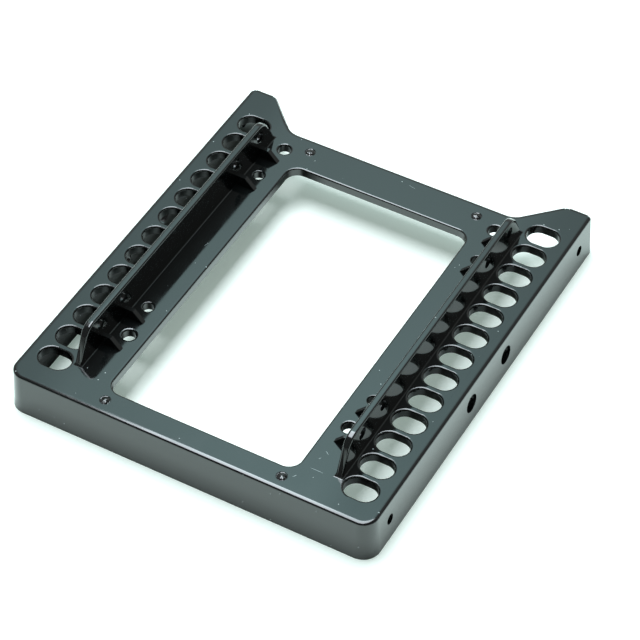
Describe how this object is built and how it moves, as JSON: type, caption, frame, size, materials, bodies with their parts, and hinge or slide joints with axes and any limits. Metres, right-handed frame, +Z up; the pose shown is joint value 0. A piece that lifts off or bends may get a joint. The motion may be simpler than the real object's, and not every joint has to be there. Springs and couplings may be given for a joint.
{
  "type": "drive bay adapter bracket",
  "caption": "Black plastic tray bracket with upright ribs, rows of cooling slots and a large window, which holds a small drive in a larger drive bay.",
  "frame": {"origin": "centre of the footprint, at the walls' lower edges", "axes": "+X to the right across the bracket, +Y from the closed front wall to the two ears at the back, +Z up"},
  "size_m": [0.1016, 0.1198, 0.0218],
  "materials": {
    "black_plastic": "gloss"
  },
  "bodies": {
    "root": {"bracket": "black_plastic"}
  },
  "joints": []
}
